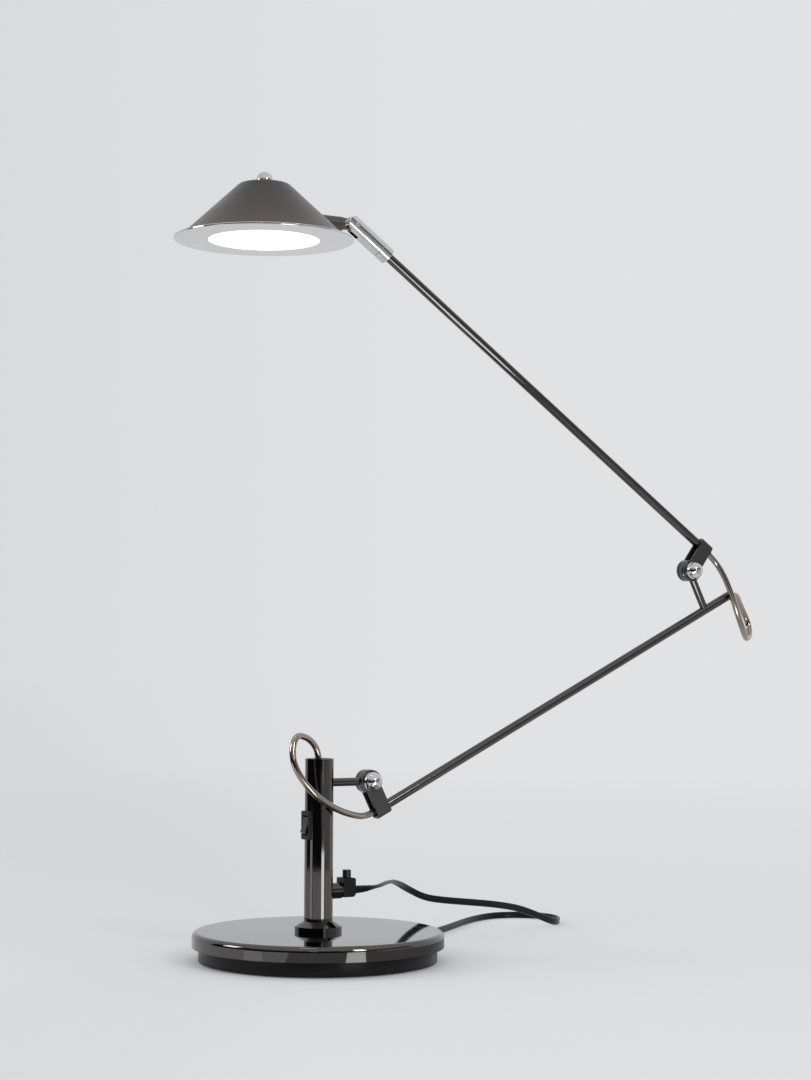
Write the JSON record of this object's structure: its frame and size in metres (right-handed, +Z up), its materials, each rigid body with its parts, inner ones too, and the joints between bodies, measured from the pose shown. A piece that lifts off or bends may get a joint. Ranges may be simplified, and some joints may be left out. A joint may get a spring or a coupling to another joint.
{
  "type": "swing arm desk lamp",
  "caption": "Desk lamp with a round weighted base, a short post, two jointed tube arms with clamp knobs, exposed cable loops and a cone shade over a round lit disc.",
  "frame": {"origin": "centre of the base's underside", "axes": "+Z up, +X from the post towards the elbow, -Y is the front with the knobs"},
  "size_m": [0.5953, 0.287, 0.6559],
  "materials": {
    "gunmetal_base": "mirror-like dark metallic lacquer",
    "black_tray": "satin black lacquer",
    "cast_weight": "as cast",
    "foot_pad": "dense felt",
    "gunmetal_post": "mirror-like dark metallic lacquer",
    "gunmetal_satin": "satin dark metallic lacquer",
    "gunmetal_arm": "satin dark metallic lacquer",
    "bright_chrome": "polished",
    "plain_steel": "zinc plated",
    "black_plastic": "fine satin",
    "gloss_black": "gloss",
    "cable_sheath": "metallic bronze-toned sheath",
    "cord_black": "satin",
    "brass_pin": "nickel-free brass",
    "washer_plastic": "slippery",
    "board_white": "satin",
    "led_phosphor": "satin",
    "diffuser_opal": "opal, lit from behind",
    "sink_aluminium": "plain"
  },
  "bodies": {
    "base": {"base_cover": "gunmetal_base", "base_tray": "black_tray", "base_weight": "cast_weight", "base_pad": "foot_pad", "post_stud": "plain_steel", "base_washer": "plain_steel", "base_nut": "plain_steel", "post_insert": "plain_steel", "post_tube": "gunmetal_post", "post_collar": "gunmetal_post", "post_cap": "black_plastic", "switch_housing": "black_plastic", "rocker_pin": "plain_steel", "cord_nipple": "black_plastic", "cord_grip": "black_plastic", "cord_grip_screw": "bright_chrome", "mains_cord": "cord_black", "cord_coil": "cord_black", "cord_tail": "cord_black", "mains_plug": "black_plastic", "plug_pins": "brass_pin", "shoulder_stub": "gunmetal_satin", "stub_nut": "plain_steel", "shoulder_drum": "gunmetal_satin"},
    "rocker": {"switch_rocker": "gloss_black"},
    "shoulder_clamp": {"shoulder_knob": "bright_chrome"},
    "lower_arm": {"shoulder_washers": "washer_plastic", "shoulder_bolt": "bright_chrome", "lower_yoke": "gunmetal_satin", "lower_arm_tube": "gunmetal_arm", "lower_arm_bushes": "black_plastic", "elbow_stub": "gunmetal_satin", "elbow_drum": "gunmetal_satin", "shoulder_cable": "cable_sheath"},
    "elbow_clamp": {"elbow_knob": "bright_chrome"},
    "upper_arm": {"elbow_washers": "washer_plastic", "elbow_bolt": "bright_chrome", "upper_yoke": "gunmetal_satin", "upper_arm_tube": "gunmetal_arm", "upper_arm_bush": "black_plastic", "end_collar": "bright_chrome", "elbow_cable": "cable_sheath"},
    "swivel": {"head_sleeve": "bright_chrome", "hinge_pin": "plain_steel"},
    "head": {"hinge_tongue": "gunmetal_satin", "head_stub": "gunmetal_satin", "shade": "gunmetal_satin", "led_board": "board_white", "led_chips": "led_phosphor", "heat_sink": "sink_aluminium", "lamp_carrier": "sink_aluminium", "finial_stud": "plain_steel", "rim_plate": "bright_chrome", "diffuser": "diffuser_opal", "finial": "bright_chrome"}
  },
  "joints": [
    {"name": "shoulder", "type": "hinge", "parent": "base", "child": "lower_arm", "pos_m": [0.0467, 0, 0.1478], "axis": [0, -1, 0], "range_deg": [-30, 60], "deforming": ["shoulder_cable"]},
    {"name": "elbow", "type": "hinge", "parent": "lower_arm", "child": "upper_arm", "pos_m": [0.38351, 0, 0.33343], "axis": [0, 1, 0], "range_deg": [-45, 75], "deforming": ["elbow_cable"]},
    {"name": "head_swivel", "type": "hinge", "parent": "upper_arm", "child": "swivel", "pos_m": [0.02904, 0, 0.61957], "axis": [-0.8127, 0, 0.5827], "range_deg": [-150, 150]},
    {"name": "head_tilt", "type": "hinge", "parent": "swivel", "child": "head", "pos_m": [0.02904, 0, 0.61957], "axis": [0, -1, 0], "range_deg": [-60, 35]},
    {"name": "rocker", "type": "hinge", "parent": "base", "child": "rocker", "pos_m": [-0.0106, 0, 0.1128], "axis": [0, -1, 0], "range_deg": [0, 16]},
    {"name": "shoulder_knob", "type": "hinge", "parent": "lower_arm", "child": "shoulder_clamp", "pos_m": [0.0467, 0, 0.1478], "axis": [0, -1, 0], "range_deg": [-90, 90]},
    {"name": "elbow_knob", "type": "hinge", "parent": "upper_arm", "child": "elbow_clamp", "pos_m": [0.38351, 0, 0.33343], "axis": [0, -1, 0], "range_deg": [-90, 90]}
  ]
}
